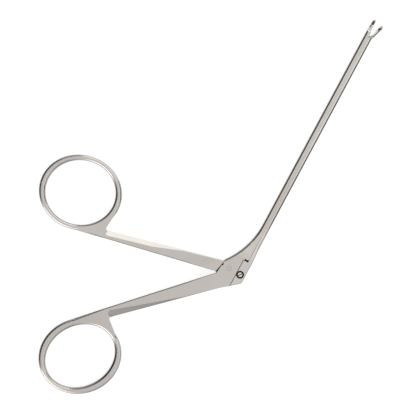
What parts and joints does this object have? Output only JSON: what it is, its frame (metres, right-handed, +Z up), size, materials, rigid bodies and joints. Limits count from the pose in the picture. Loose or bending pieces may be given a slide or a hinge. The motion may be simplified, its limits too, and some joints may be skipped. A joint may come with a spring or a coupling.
{
  "type": "ear punch forceps",
  "caption": "Ear punch forceps with oval finger rings, a slotted box, a long sliding shaft and small hinged cup jaws, all in satin steel.",
  "frame": {"origin": "on the axis of the handle pivot, where it meets the surface that the forceps lie on, the underside of the box", "axes": "+X along the shaft to the jaws, the finger rings on the +Y side, +Z up off the surface"},
  "size_m": [0.1425, 0.0691, 0.004],
  "materials": {
    "forged_steel": "forged stainless steel, satin ground flats and polished rings",
    "shaft_steel": "satin ground stainless steel",
    "jaw_steel": "polished stainless steel",
    "fastener_steel": "turned stainless steel"
  },
  "bodies": {
    "frame": {"thumb_handle": "forged_steel", "handle_pivot_pin": "fastener_steel", "jaw_pivot_pin": "fastener_steel"},
    "handle": {"finger_handle": "forged_steel"},
    "slide": {"slide_bar": "shaft_steel", "drive_screw": "fastener_steel", "jaw_drive_pin": "fastener_steel"},
    "jaw": {"moving_jaw": "jaw_steel"}
  },
  "joints": [
    {"name": "handle_hinge", "type": "hinge", "parent": "frame", "child": "handle", "pos_m": [0, 0, 0.002], "axis": [0, 0, 1], "range_deg": [0, 7]},
    {"name": "shaft_slide", "type": "slide", "parent": "frame", "child": "slide", "axis": [1, 0, 0], "range_m": [0, 0.0004637]},
    {"name": "jaw_hinge", "type": "hinge", "parent": "frame", "child": "jaw", "pos_m": [0.0807, -0.00345, 0.002], "axis": [0, 0, 1], "range_deg": [0, 21]}
  ],
  "couplings": [
    {"joint": "shaft_slide", "follows": "handle_hinge", "m_per_rad": 0.003795},
    {"joint": "jaw_hinge", "follows": "handle_hinge", "ratio": 3}
  ]
}
